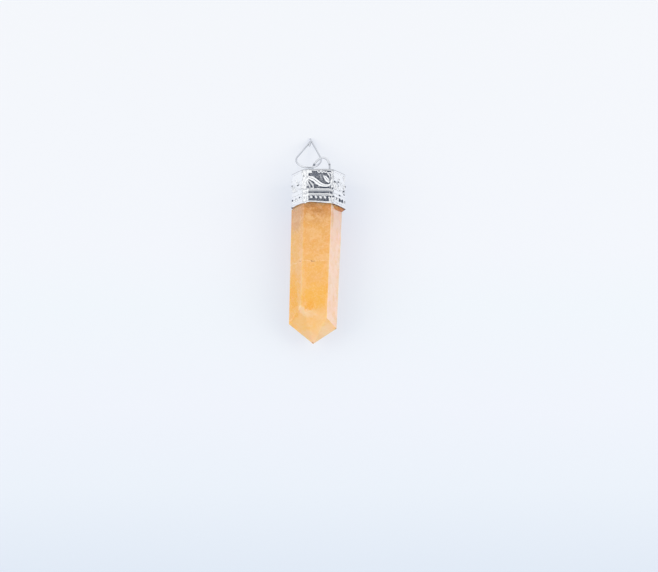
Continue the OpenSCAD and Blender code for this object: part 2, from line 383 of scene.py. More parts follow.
def cloud(tree, place, middle, halves):
    """Soft mask of an ellipsoid: 1 inside, 0 outside."""
    moved = vectors(tree, "SUBTRACT", {0: place, 1: middle})
    shrunk = vectors(tree, "DIVIDE", {0: moved, 1: halves})
    away = vectors(tree, "LENGTH", {0: shrunk}, "Value")
    return ramp_between(tree, away, CLOUD_OUTER, CLOUD_INNER)


def clouded(tree, colour, place, middle, halves, shade, strength):
    """Colour with one cloud laid over it."""
    mask = times(tree, cloud(tree, place, middle, halves), strength)
    return blend(tree, mask, colour, shade)


def tinted(tree, colour, value, tint):
    """Colour with one tint laid over it, where a value shows it."""
    zero_at, full_at, strength, shade, kind = tint
    return blend(tree, ramp_between(tree, value, zero_at, full_at, strength), colour, shade, kind)


# Ornament of the cap, as height above its ground


def rounded(t):
    """Half-round profile: t is 0 in the middle and 1 at the edge."""
    return np.sqrt(np.clip(1 - t * t, 0, 1))


def roofed(t):
    """Rounded profile with a ridge along its middle."""
    slopes = np.clip(1 - np.abs(t) ** ROOF_POWER, 0, 1)
    return ROUND_SHARE * rounded(t) + (1 - ROUND_SHARE) * slopes


def stroke_height(across, up, stroke):
    """Rounded ridge along one stroke. Across and up are grids in millimetres."""
    curve = catmull(stroke, CURVE_STEPS)
    x = curve[:, 0] * SIDE_W
    y = FIELD[0] + (FIELD[1] - FIELD[0]) * curve[:, 1]
    w = curve[:, 2] * SIDE_W
    nearest = np.full(across.shape, np.inf)
    for i in range(len(x) - 1):
        dx, dy = x[i + 1] - x[i], y[i + 1] - y[i]
        length2 = max(dx * dx + dy * dy, 1e-9)
        t = np.clip(((across - x[i]) * dx + (up - y[i]) * dy) / length2, 0, 1)
        away = np.hypot(across - x[i] - t * dx, up - y[i] - t * dy)
        nearest = np.minimum(nearest, away / (w[i] + (w[i + 1] - w[i]) * t))
    return roofed(nearest)


def ornament(side, across, up):
    """Height above the ground, in millimetres, of one flat's grid."""
    height = np.zeros(across.shape)
    for start, end, share in BANDS:
        middle, half = (start + end) / 2, (end - start) / 2
        height = np.maximum(height, RELIEF * share * roofed((up - middle) / half))
    leaned = across + BEAD_LEAN * (up - BEAD_AT)
    for i in range(BEADS_A_SIDE):
        middle = (i + 0.5 - BEADS_A_SIDE / 2) * BEAD_PITCH
        d2 = (BEAD_NARROW * (leaned - middle)) ** 2 + (up - BEAD_AT) ** 2
        bead = np.sqrt(np.clip(BEAD_D ** 2 / 4 - d2, 0, None)) - BEAD_D / 2 + RELIEF
        height = np.maximum(height, bead)
    scroll = np.zeros(across.shape)
    for one in range(-1, 2):
        neighbour = (side + one) % SIDES
        for stroke in SIDE_STROKES[neighbour]:
            share = TONGUE_SHARE if stroke is TONGUE else 1.0
            scroll = np.maximum(scroll, share * stroke_height(across - one * SIDE_W, up, stroke))
    height = np.maximum(height, SCROLL_HEIGHT * RELIEF * scroll)
    for left, right, low, high in LUMPS if side == 0 else []:
        inside = np.minimum(np.minimum(across - left, right - across), np.minimum(up - low, high - up))
        height = np.maximum(height, LUMP_HEIGHT * RELIEF * np.clip(inside / LUMP_SLOPE, 0, 1))
    return height


def blur(grid, passes):
    """Softens a grid of heights that closes on itself across its columns."""
    for _ in range(passes):
        rows = np.vstack([grid[:1], grid, grid[-1:]])
        grid = (rows[:-2] + 2 * rows[1:-1] + rows[2:]) / 4
        grid = (np.roll(grid, 1, 1) + 2 * grid + np.roll(grid, -1, 1)) / 4
    return grid


def outline_point(share, side, reach):
    """Point of the rounded hexagon: share across a flat from -0.5 to 0.5, reach out from the axis."""
    corner_from_axis = (CAP_FLATS / 2 - CORNER_R) / math.cos(math.pi / SIDES)
    straight = corner_from_axis * math.sin(math.pi / SIDES)
    facing = math.radians(90 - 360 / SIDES * side)
    across = share * SIDE_W
    if abs(across) <= straight:
        out = np.array([math.cos(facing), math.sin(facing)])
        along = np.array([math.sin(facing), -math.cos(facing)])
        return out * reach + along * across
    part = (abs(across) - straight) / (SIDE_W / 2 - straight)
    way = math.copysign(1, across)
    corner = facing - way * math.pi / SIDES
    angle = facing - way * part * math.pi / SIDES
    r = reach - (CAP_FLATS / 2 - CORNER_R)
    return (corner_from_axis * np.array([math.cos(corner), math.sin(corner)])
            + r * np.array([math.cos(angle), math.sin(angle)]))


def corner_wear(across, radius):
    """How far a worn corner draws a side in, at distances from the side's middle; no radius is a bevel."""
    slope = math.tan(math.pi / SIDES)
    straight = SIDE_W / 2 - CORNER_R * slope
    turn = math.pi / SIDES * (1 - np.clip((across - straight) / (SIDE_W / 2 - straight), 0, 1))
    if radius:
        shift = (radius - CORNER_R) / math.cos(math.pi / SIDES)
        beyond = np.clip(across - (SIDE_W / 2 - radius * slope), 0, None)
        on_side = radius - np.sqrt(radius ** 2 - beyond ** 2)
        on_corner = CORNER_R + shift * np.cos(turn) - np.sqrt(radius ** 2 - (shift * np.sin(turn)) ** 2)
    else:
        beyond = across - (SIDE_W / 2 - BEVEL)
        soft = np.clip(beyond + BEVEL_SOFT, 0, 2 * BEVEL_SOFT) ** 2 / (4 * BEVEL_SOFT)
        on_side = slope * np.where(beyond > BEVEL_SOFT, beyond, soft)
        plane = CORNER_R / math.cos(math.pi / SIDES) - BEVEL * math.sin(math.pi / SIDES)
        on_corner = CORNER_R - plane / np.cos(turn)
    return np.where(across > straight, on_corner, on_side)


def grain(shape, spread, seed):
    """Even, seeded unevenness from -1 to 1 that closes on itself across its columns."""
    rough = blur(np.random.default_rng(seed).normal(size=shape), spread)
    return np.clip(rough / (2 * rough.std()), -1, 1)


def pit_grid(across, up, shape):
    """Depth of the small pits at each point, as a share of the deepest."""
    pits = np.zeros(shape)
    ragged = PIT_RAGGED * grain(shape, spread=5, seed=6)
    for side, x, y, half_width, half_height in PITS:
        its = slice(side * COLUMNS_A_SIDE, (side + 1) * COLUMNS_A_SIDE)
        away = np.hypot((across - x) / half_width, (up - y) / half_height) + ragged[:, its]
        pits[:, its] = np.maximum(pits[:, its], np.clip(PIT_REACH - away, 0, 1))
    return pits


def tarnish_and_shade(heights, raised, pits, shares, up):
    """How dark each point is: tarnish of creases beside the raised edges, then of the open ground, then of
    pits; with painted shade over the top side's ridges and round the end, and painted light on the top side's
    left part and the upper side flats.
    """
    crease = np.clip((blur(heights, CREASE_PASSES) - heights) / (CREASE_DEPTH * RELIEF), 0, 1)
    open_ground = GROUND_DARK * (1 - raised)
    uneven = 1 + UNEVEN_DARK * grain(heights.shape, spread=18, seed=5)
    # Tarnish per side; the upper side flats' low values are painted light
    side_share = np.repeat(SIDE_DARKENING, COLUMNS_A_SIDE)
    # Painted highlight: the top side's left part keeps little darkness
    highlight_end = np.count_nonzero(shares < HIGHLIGHT_TO)
    side_share[:highlight_end] = HIGHLIGHT_SHARE
    rub = CORNER_RUB * np.tile(np.clip((np.abs(shares) - CORNER_RUB_FROM) / CORNER_RUB_OVER, 0, 1), SIDES)
    darkening = CREASE_DARK * crease * (1 - CREASE_RUBBED * rub) + open_ground * (1 - rub)
    darkening = darkening * uneven * side_share
    low, high, share = LIGHTER_GAP
    darkening[:, :COLUMNS_A_SIDE] *= np.where((up > low) & (up < high), share, 1)
    # Painted shade bands over the top side's ridges
    for low, high, share in SHADE_BANDS:
        dull = share * np.clip((high - up) / SHADE_EDGE, 0, 1) * (up > low)
        darkening[:, highlight_end:COLUMNS_A_SIDE] += dull[:, highlight_end:]
    # Painted shade line round the cap's end
    darkening[-EDGE_ROWS:] += EDGE_DARK
    return np.clip(darkening + PIT_DARK * pits, 0, 1)


def plate_look(x, z, scale):
    """How far the end plate waves out at a point, and how dark it is there."""
    wave = mathutils.noise.noise((WAVES_TO_MM * x, WAVES_TO_MM * z, 4.0))
    spot = 0.5 + 0.5 * mathutils.noise.fractal((SPOTS_TO_MM * x, SPOTS_TO_MM * z, 9.0), 0.8, 2.0, 4)
    return PLATE_WAVES * wave * (1 - scale ** 4), PLATE_DARK + SPOT_DARK * spot ** 2


def cap_sleeve():
    """The cast cap: relief outside, rolled rim, plain inside and closed end, as one closed mesh."""
    shares = (np.arange(COLUMNS_A_SIDE) + 0.5) / COLUMNS_A_SIDE - 0.5
    ups = np.linspace(0, CAP_LENGTH, OUTER_ROWS)
    across, up = np.meshgrid(shares * SIDE_W, ups)
    columns = SIDES * COLUMNS_A_SIDE
    heights = blur(np.hstack([ornament(side, across, up) for side in range(SIDES)]), 1)
    raised = np.clip(heights / (RAISED_FROM * RELIEF), 0, 1)
    heights = heights + GROUND_GRAIN * (1 - raised) * grain(heights.shape, spread=2, seed=3)
    heights = heights + SKIN_GRAIN * grain(heights.shape, spread=8, seed=4)
    pits = pit_grid(across, up, heights.shape)
    heights -= PIT_DEPTH * pits
    darkening = tarnish_and_shade(heights, raised, pits, shares, up)
    worn = [corner_wear(np.abs(shares) * SIDE_W, radius) for radius in CORNER_ROUND + [None]]
    wear = np.hstack([np.where(shares < 0, worn[side - 1], worn[side]) for side in range(SIDES)])
    middle = 1 - (2 * shares) ** 2
    draw = np.hstack([np.interp(shares, *zip(*TOP_RIM))] + [back * middle for back in RIM_DRAW])
    swell = np.hstack([(SIDE_SWELL if side % 3 else 0) * middle for side in range(SIDES)])
    ground = CAP_FLATS / 2 - RELIEF
    inner = CAP_FLATS / 2 - INSIDE - INSIDE_WEAR * wear
    floor_at = CAP_LENGTH - END_PLATE

    def even(value):
        return np.full(columns, value)

    # Each row: distance from the rim at each column, reach at each column, share of the full outline,
    # how dark it is
    rows = [(even(floor_at), inner, scale, even(INSIDE_DARK)) for scale in (0.02, 0.5, 1.0)]
    rows.append((even(INSIDE_ROW), inner, 1.0, even(INSIDE_DARK)))
    for at, out, shade in RIM_ROLL:
        rows.append((at + draw, inner + out, 1.0, even(shade)))
    for at, line, shade in zip(ups, heights, darkening):
        reach = ground + line - wear + swell * at / CAP_LENGTH
        rows.append((at + draw * math.exp(-at / RIM_FADE), reach, 1.0, shade))
    for at, back, shade in END_STEPS:
        rows.append((even(CAP_LENGTH + at), ground - wear - back, 1.0, even(shade)))
    plate_at, plate_back = END_STEPS[-1][:2]
    plate = ground - wear - plate_back
    for scale in list(np.linspace(0.95, 0.05, PLATE_ROWS)) + [0.01]:
        rows.append((even(CAP_LENGTH + plate_at + PLATE_DOME * (1 - scale ** 2)), plate, scale, None))
    points = []
    darkness = []
    places = [(share, side) for side in range(SIDES) for share in shares]
    for at, reach, scale, shade in rows:
        for i, ((share, side), y, r) in enumerate(zip(places, at, reach)):
            x, z = outline_point(share, side, r) * scale
            wave, dark = plate_look(x, z, scale) if shade is None else (0.0, shade[i])
            points.append((x, RIM_Y + (y + wave), max(AXIS_Z + z, 0.0)))
            darkness.append(dark)
    sleeve = mesh_object("cap_sleeve", points, closed_faces(len(rows), columns, turned=True))
    sleeve.data.attributes.new("darkening", "FLOAT", "POINT").data.foreach_set("value", darkness)
    return sleeve


def arc(centre, r, start, end, steps):
    """Points of an arc, from one angle to another in degrees."""
    angles = np.radians(np.linspace(start, end, steps + 1))
    return [np.array([centre[0] + r * math.cos(a), centre[1] + r * math.sin(a)]) for a in angles]


def tube(name, route, d, place, round_ends):
    """A round wire along a flat route; place turns the route's plane point and height to the frame."""
    route = [np.array(p, float) for p in route]
    n = len(route)
    rings = []
    for i, p in enumerate(route):
        way = route[min(i + 1, n - 1)] - route[max(i - 1, 0)]
        way /= np.linalg.norm(way)
        rings.append((p, way, 1.0))
    if round_ends:
        dome = [(math.sin(math.radians(a)), math.cos(math.radians(a))) for a in DOME_ANGLES]
        (first, first_way, _), (last, last_way, _) = rings[0], rings[-1]
        before = [(first - first_way * d / 2 * back, first_way, r) for back, r in reversed(dome)]
        beyond = [(last + last_way * d / 2 * ahead, last_way, r) for ahead, r in dome]
        rings = before + rings + beyond
    points = []
    for p, way, r in rings:
        for k in range(WIRE_SIDES):
            a = 2 * math.pi * k / WIRE_SIDES
            side = np.array([way[1], -way[0]]) * math.cos(a) * d / 2 * r
            points.append(place(p[0] + side[0], p[1] + side[1], math.sin(a) * d / 2 * r))
    return mesh_object(name, points, closed_faces(len(rings), WIRE_SIDES, turned=True))


def eyelet_place(x, y, h):
    """A point of the eyelet's own plane: across, out from the cap's end, above the plane."""
    roll = math.radians(EYELET_ROLL)
    return (x * math.cos(roll) - h * math.sin(roll), RIM_Y + CAP_LENGTH + y,
            AXIS_Z + x * math.sin(roll) + h * math.cos(roll))


def eyelet():
    """Soldered wire eyelet with a bead of solder at each foot."""
    top = arc((EYELET_RIGHT, EYELET_REACH), EYELET_R, 0, 180 - EYELET_SLANT, EYELET_STEPS)
    for i, point in enumerate(top):
        point[1] += EYELET_CROWN * math.sin(math.pi * min(i / CROWN_STEPS, 1)) ** 2
    lean = math.tan(math.radians(EYELET_SLANT))
    left = top[-1]
    left_foot = np.array([left[0] - left[1] * lean, 0.0])
    right_foot = np.array([top[0][0], 0.0])
    route = [right_foot - (0, EYELET_SUNK)]
    route += [right_foot + (top[0] - right_foot) * t for t in RIGHT_LEG]
    route += top
    route += [left + (left_foot - left) * t for t in LEFT_LEG]
    route.append(left_foot - np.array([lean, 1.0]) * EYELET_SUNK)
    wire = tube("eyelet", route, EYELET_WIRE, eyelet_place, round_ends=False)
    return [wire, solder("solder_0", left_foot), solder("solder_1", right_foot)]


def solder(name, foot):
    """A low, slightly uneven fillet of solder round a wire's foot."""
    points = []
    for i in range(SOLDER_RINGS):
        t = i / (SOLDER_RINGS - 1)
        r = SOLDER_D / 2 * (1 - t) ** SOLDER_POWER + EYELET_WIRE / 2 * SOLDER_NARROWEST
        r = min(r, SOLDER_D / 2 * SOLDER_WIDEST)
        for k in range(SOLDER_SIDES):
            a = 2 * math.pi * k / SOLDER_SIDES
            uneven = 1 + 0.07 * math.sin(2 * a + foot[0]) + 0.04 * math.sin(3 * a + 1)
            points.append(eyelet_place(foot[0] + r * uneven * math.cos(a), SOLDER_FROM + SOLDER_H * t,
                                       r * uneven * math.sin(a)))
    return mesh_object(name, points, closed_faces(SOLDER_RINGS, SOLDER_SIDES, turned=False))


def bulged(route, start):
    """The bail's route with its left half, from one point on, bent slightly outward."""
    out = list(route)
    for i in range(start, len(route) - 1):
        share = (i - start) / (len(route) - 1 - start)
        way = (route[i + 1] - route[i - 1]) / np.linalg.norm(route[i + 1] - route[i - 1])
        out[i] = route[i] + np.array([-way[1], way[0]]) * BAIL_BULGE * math.sin(math.pi * share) ** 2
    return out


def bail():
    """Teardrop wire bail, hooked through the eyelet, with its short end turned back inside."""
    turn = math.radians(BAIL_HALF_ANGLE)
    point = np.array([0.0, BAIL_R / math.sin(turn)])
    leg = np.array([math.sin(turn), math.cos(turn)])
    round_end = arc((0, 0), BAIL_R, BAIL_HALF_ANGLE, -180 - BAIL_HALF_ANGLE, BAIL_STEPS)
    seat = math.radians(BAIL_SEAT)
    seat_point = np.array([BAIL_R * math.sin(seat), BAIL_R * math.cos(seat)])
    swing_r = EYELET_R - (EYELET_WIRE + BAIL_WIRE) / 2 - SWING_GAP
    at = math.radians(EYELET_SEAT)
    swing = eyelet_place(EYELET_RIGHT + swing_r * math.cos(at), EYELET_REACH + swing_r * math.sin(at), 0)
    reach = point[1] + BAIL_OVERRUN * leg[1] - BAIL_R * math.cos(seat)
    slope = (math.asin((swing[2] - FLOOR_GAP) / math.hypot(reach, BAIL_WIRE / 2))
             - math.atan2(BAIL_WIRE / 2, reach))
    yaw = -math.radians(BAIL_TURN)

    def place(x, y, h):
        x, y = x - seat_point[0], y - seat_point[1]
        x, y = x * math.cos(yaw) - y * math.sin(yaw), x * math.sin(yaw) + y * math.cos(yaw)
        return (swing[0] + x, swing[1] + y * math.cos(slope) + h * math.sin(slope),
                swing[2] - y * math.sin(slope) + h * math.cos(slope))

    over = np.array([-leg[0], leg[1]])
    right_leg = [point + over * (BAIL_OVERRUN - BAIL_WIRE / 2), point]
    right_leg += [point + (round_end[0] - point) * t for t in (0.25, 0.5, 0.75)]
    left_end = point - LEFT_SHORT * BAIL_WIRE * leg
    left_shares = np.linspace(LEFT_FROM, 1.0, LEFT_POINTS)
    left_leg = [round_end[-1] + (left_end - round_end[-1]) * t for t in left_shares]
    route = bulged(right_leg + round_end + left_leg, len(right_leg) + len(round_end) // 2)
    loop = tube("bail_loop", route, BAIL_WIRE, place, round_ends=True)
    tail_end = point - np.array([BAIL_WIRE / 2, BAIL_TAIL])
    tail = tube("bail_tail", [point, (point + tail_end) / 2, tail_end], BAIL_WIRE, place, round_ends=True)
    return [loop, tail]


def join(name, pieces):
    """One object from several, under the first one's name."""
    bpy.ops.object.select_all(action="DESELECT")
    for piece in pieces:
        piece.select_set(True)
    bpy.context.view_layer.objects.active = pieces[0]
    bpy.ops.object.join()
    pieces[0].name = name
    return pieces[0]


# Flare of the stone's root at its right corner, below the rim: corners in millimetres across from the
# middle, from the rim, and from the floor
FLARE = [
    (2.95, -0.02, 8.72), (5.56, -0.02, 4.85), (4.62, -0.66, 4.8), (3.5, -0.8, 7.42), (2.75, -0.02, 0.9),
    (2.2, -0.02, 7.5), (2.2, -0.02, 2.0), (2.2, -0.7, 5.0),
]
# Points this near, in millimetres, and faces within this angle, in degrees, are made one
SAME_POINT, SAME_FACE = 0.002, 0.4
# Polished edges: width in millimetres, segments, and the angle in degrees from which an edge has them
EDGE_WIDTH, EDGE_SEGMENTS, EDGE_FROM = 0.12, 3, 8


def stone():
    """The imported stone's own flat faces, with softly polished edges and the flare at its root."""
    piece = add("quartz_point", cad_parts["crystal_point"].data.copy())
    made = bmesh.new()
    made.from_mesh(piece.data)
    bmesh.ops.remove_doubles(made, verts=made.verts, dist=SAME_POINT * MM)
    bmesh.ops.dissolve_limit(made, angle_limit=math.radians(SAME_FACE), verts=made.verts, edges=made.edges)
    made.to_mesh(piece.data)
    made.free()
    made = bmesh.new()
    for x, y, z in FLARE:
        made.verts.new(Vector((x, RIM_Y + y, z)) * MM)
    bmesh.ops.convex_hull(made, input=made.verts)
    flare = add("flare", bpy.data.meshes.new("flare"))
    made.to_mesh(flare.data)
    made.free()
    union = piece.modifiers.new("flare", "BOOLEAN")
    union.operation = "UNION"
    union.object = flare
    bpy.context.view_layer.objects.active = piece
    bpy.ops.object.modifier_apply(modifier="flare")
    bpy.data.objects.remove(flare)
    piece.data.materials.clear()
    piece.data.polygons.foreach_set("use_smooth", [True] * len(piece.data.polygons))
    edges = piece.modifiers.new("polished_edges", "BEVEL")
    edges.width = EDGE_WIDTH * MM
    edges.segments = EDGE_SEGMENTS
    edges.limit_method = "ANGLE"
    edges.angle_limit = math.radians(EDGE_FROM)
    normals = piece.modifiers.new("flat_faces", "WEIGHTED_NORMAL")
    normals.weight = 100
    return piece


# Colours of the stone, linear: along it from the rim to the tip; the darker brown by the rim is painted shade
# of the cap
STONE_RAMP = [
    (0.0, (0.71, 0.34, 0.122, 1)), (0.06, (0.69, 0.345, 0.116, 1)), (0.16, (0.82, 0.452, 0.16, 1)),
    (0.40, (0.87, 0.485, 0.166, 1)), (0.62, (0.89, 0.51, 0.165, 1)), (0.80, (0.90, 0.515, 0.17, 1)),
    (0.88, (0.97, 0.565, 0.19, 1)), (1.0, (0.92, 0.66, 0.46, 1)),
]
# Noises in the stone: scale to a millimetre, detail, roughness, distortion
WIDE_NOISE = (0.25, 4, 0.55, 0.5)
MIDDLING_NOISE = (0.55, 5, 0.6, 0.7)
FINE_NOISE = (2.6, 4, 0.65, 0.3)
VEIL_NOISE = (0.7, 3, 0.5, 1.0)
GAP_NOISE = (0.45, 4, 0.6, 0.8)
SPECK_NOISE = (5.5, 2, 0.5)
WAVE_NOISE = (0.5, 2, 0.5)
# Tints over the stone: the values at which one starts and is full, strength, colour, kind of blend
DEEP_PATCHES = (0.5, 0.34, 0.5, (1.0, 0.95, 0.66, 1), "MULTIPLY")
PEACH_PATCHES = (0.5, 0.68, 0.42, (0.93, 0.64, 0.36, 1), "MIX")
VEILS = (0.03, 0.0, 0.28, (0.95, 0.70, 0.44, 1), "MIX")
PEACH_GRAIN = (0.5, 0.7, 0.35, (0.94, 0.66, 0.36, 1), "MIX")
DEEP_GRAIN = (0.48, 0.3, 0.35, (0.97, 0.88, 0.62, 1), "MULTIPLY")
SPECKS = (0.70, 0.78, 0.5, (0.72, 0.52, 0.36, 1), "MULTIPLY")

# The pale side to the right, a painted reflection: the way it faces, its colour, and the tints over it, the
# last of them painted shade by the cap
PALE_TOWARD = (math.cos(math.radians(27)), 0.0, math.sin(math.radians(27)))
PALE_REFLECTION = (0.95, 0.68, 0.53, 1)
PALE_PATCHES = (0.42, 0.62, 0.6, (0.975, 0.765, 0.69, 1), "MIX")
PALE_GRAIN = (0.5, 0.66, 0.4, (0.90, 0.60, 0.38, 1), "MIX")
PALE_BY_CAP = (0.3, 0.08, 0.5, (0.82, 0.66, 0.62, 1), "MIX")
# How much it shows by the cap, how much more further on, and how much its gaps take away
PALE_SHARE, PALE_MORE, PALE_GAPS = 0.71, 0.15, 0.3
# Where gold shows at its top: middle and half sizes in millimetres, and how much is taken away
GOLD_EDGE = ((2.85, 2.8, 8.4), (0.4, 2.2, 0.8))
GOLD_EDGE_SHARE = 0.6
# The line of light along its polished edge
EDGE_LIGHT = (0.97, 0.76, 0.52, 1)
EDGE_LIGHT_SHARE = 0.6
# Colours of the flare below the rim, from its left to its point: painted shade of the cap's rim on the stone
FLARE_PALE = (0.60, 0.25, 0.05, 1)
FLARE_LIGHT = (0.53, 0.16, 0.005, 1)
FLARE_DARK = (0.14, 0.035, 0.008, 1)

# Edge of every cloud, as shares of its half sizes: nothing outside the first, full inside the second
CLOUD_OUTER, CLOUD_INNER = 1.25, 0.55

# Clouds in the stone: middle, half sizes in millimetres, colour, strength
CLOUDS = [
    ((-3.1, -16.0, 7.6), (1.5, 1.1, 1.8), (0.97, 0.70, 0.45, 1), 0.7),
    ((-1.5, -16.5, 7.8), (1.6, 0.8, 1.8), (0.94, 0.64, 0.37, 1), 0.5),
    ((1.2, -16.8, 7.8), (2.2, 1.3, 1.8), (0.93, 0.60, 0.31, 1), 0.45),
    ((-0.4, -13.0, 8.3), (2.7, 2.7, 2.5), (0.90, 0.485, 0.09, 1), 0.8),
    ((-1.8, -15.0, 8.0), (0.9, 1.1, 1.5), (0.90, 0.44, 0.07, 1), 0.75),
    ((1.9, -11.4, 8.2), (0.8, 1.2, 1.2), (0.90, 0.44, 0.075, 1), 0.55),
    ((-4.7, -2.6, 5.8), (1.5, 4.6, 3.0), (0.87, 0.47, 0.10, 1), 0.5),
    ((-5.2, -12.4, 6.0), (1.6, 5.0, 3.2), (0.93, 0.442, 0.03, 1), 0.95),
    ((-3.9, -17.6, 6.5), (1.5, 1.3, 2.2), (0.97, 0.61, 0.27, 1), 0.6),
    ((1.9, -19.3, 5.0), (2.2, 1.6, 2.2), (0.98, 0.66, 0.39, 1), 0.75),
    # The next two dark brown clouds, just below the rim, are painted shade of the cap
    ((0.0, 4.2, 8.9), (1.3, 0.5, 1.5), (0.52, 0.235, 0.08, 1), 0.55),
    ((-2.0, 5.2, 8.9), (1.6, 0.35, 1.5), (0.50, 0.22, 0.07, 1), 0.5),
    ((-4.5, 3.4, 6.5), (1.5, 3.2, 3.0), (0.66, 0.38, 0.20, 1), 0.65),
    ((-0.6, -0.2, 9.0), (1.6, 0.8, 2.0), (0.90, 0.58, 0.28, 1), 0.35),
    ((-3.3, -4.6, 7.8), (0.8, 2.2, 1.2), (0.90, 0.59, 0.32, 1), 0.45),
    ((1.0, -5.2, 8.5), (1.6, 0.6, 1.2), (0.90, 0.58, 0.28, 1), 0.5),
    ((-0.9, -7.4, 8.4), (2.4, 1.1, 1.5), (0.92, 0.50, 0.12, 1), 0.35),
    ((-3.0, -10.0, 7.8), (0.7, 2.5, 1.0), (0.91, 0.57, 0.27, 1), 0.45),
    ((-3.0, -8.0, 2.0), (1.4, 3.0, 1.2), (0.93, 0.62, 0.34, 1), 0.5),
    ((3.2, -1.0, 2.2), (1.2, 3.5, 1.4), (0.86, 0.42, 0.10, 1), 0.6),
    ((2.5, -12.5, 2.0), (1.6, 2.0, 1.6), (0.94, 0.64, 0.36, 1), 0.55),
    ((-4.5, -1.0, 3.0), (1.2, 2.4, 1.6), (0.88, 0.46, 0.11, 1), 0.5),
]
# Brown stains on the healed crack and at two of the tip's corners: middle, half sizes, strength
STAINS = [
    ((-0.95, -6.0, 8.4), (0.55, 0.075, 0.8), 0.8), ((-1.3, -5.85, 8.4), (0.28, 0.08, 0.8), 0.7),
    ((-3.6, -5.75, 7.8), (0.26, 0.08, 0.8), 0.55), ((-2.9, -5.6, 7.8), (0.15, 0.1, 0.8), 0.35),
    ((3.7, -18.9, 3.9), (0.4, 0.32, 0.6), 0.7), ((-1.0, -21.85, 3.8), (0.29, 0.23, 0.6), 0.65),
]
STAIN = (0.40, 0.17, 0.06, 1)
# The healed crack, in millimetres: place along the stone, half widths of its edge and full colour
CRACK_Y, CRACK_HALF, CRACK_FULL = -5.95, 0.13, 0.02
CRACK = (0.95, 0.72, 0.48, 1)


def golden(tree, place, soft_place, along, middling, fine):
    """Colour of the stone's body: along it, then patches, clouds, thin veils, grain and specks; its brown by
    the rim, in the ramp and two clouds, is painted shade of the cap.
    """
    wide = noise(tree, place, *WIDE_NOISE)
    shifted = maths(tree, "ADD", along, times(tree, maths(tree, "SUBTRACT", wide, 0.5), 0.14))
    colour = ramp(tree, shifted, STONE_RAMP)
    colour = tinted(tree, colour, middling, DEEP_PATCHES)
    colour = tinted(tree, colour, middling, PEACH_PATCHES)
    for one in CLOUDS:
        colour = clouded(tree, colour, soft_place, *one)
    veils = noise(tree, soft_place, *VEIL_NOISE)
    colour = tinted(tree, colour, maths(tree, "ABSOLUTE", maths(tree, "SUBTRACT", veils, 0.5)), VEILS)
    colour = tinted(tree, colour, fine, PEACH_GRAIN)
    colour = tinted(tree, colour, fine, DEEP_GRAIN)
    return tinted(tree, colour, noise(tree, place, *SPECK_NOISE), SPECKS)


def cracked(tree, colour, thin_place, fine):
    """Colour with the healed crack, a pale thin line, and with brown stains."""
    off_crack = maths(tree, "ABSOLUTE", maths(tree, "SUBTRACT", split_y(tree, thin_place), CRACK_Y))
    line = ramp_between(tree, off_crack, CRACK_HALF, CRACK_FULL)
    line = times(tree, line, ramp_between(tree, fine, 0.35, 0.6, 0.75))
    colour = blend(tree, line, colour, CRACK)
    for middle, halves, strength in STAINS:
        colour = clouded(tree, colour, thin_place, middle, halves, STAIN, strength)
    return colour


def with_pale_reflection(tree, colour, place, soft_place, normal, along, middling, fine):
    """Colour with the pale side to the right, a painted reflection, and the line of light along its polished
    edge, a painted highlight.
    """
    facing = vectors(tree, "DOT_PRODUCT", {0: normal, 1: PALE_TOWARD}, "Value")
    pale = tinted(tree, PALE_REFLECTION, middling, PALE_PATCHES)
    pale = tinted(tree, pale, fine, PALE_GRAIN)
    pale = tinted(tree, pale, along, PALE_BY_CAP)
    share = maths(tree, "ADD", ramp_between(tree, along, 0.0, 0.3, PALE_MORE), PALE_SHARE)
    share = times(tree, ramp_between(tree, facing, 0.9, 0.96), share)
    gaps = ramp_between(tree, noise(tree, soft_place, *GAP_NOISE), 0.5, 0.66, PALE_GAPS)
    share = times(tree, share, maths(tree, "SUBTRACT", 1.0, gaps))
    gold_edge = times(tree, cloud(tree, place, *GOLD_EDGE), -GOLD_EDGE_SHARE)
    share = times(tree, share, maths(tree, "ADD", 1.0, gold_edge))
    # Painted reflection: the side to the right turns pale
    colour = blend(tree, share, colour, pale)
    edge = times(tree, ramp_between(tree, facing, 0.58, 0.68), ramp_between(tree, facing, 0.94, 0.84))
    level = ramp_between(tree, maths(tree, "ABSOLUTE", split_y(tree, normal)), 0.25, 0.12)
    edge = times(tree, times(tree, edge, level), EDGE_LIGHT_SHARE)
    return blend(tree, edge, colour, EDGE_LIGHT)


def flared(tree, colour, split, normal):
    """Colour with painted shade of the cap's rim on the flare below it, darkest at its point."""
    from_rim = maths(tree, "SUBTRACT", split.outputs["Y"], RIM_Y)
    in_flare = ramp_between(tree, split_y(tree, normal), -0.12, -0.24)
    in_flare = times(tree, in_flare, ramp_between(tree, from_rim, -1.5, -1.3))
    # Painted shade of the cap's rim over the flare
    rim_shade = blend(tree, ramp_between(tree, split.outputs["X"], 3.5, 4.2), FLARE_PALE, FLARE_LIGHT)
    toward_point = maths(tree, "ADD", split.outputs["X"], times(tree, from_rim, 1.5))
    rim_shade = blend(tree, ramp_between(tree, toward_point, 4.4, 5.15), rim_shade, FLARE_DARK)
    return blend(tree, in_flare, colour, rim_shade)


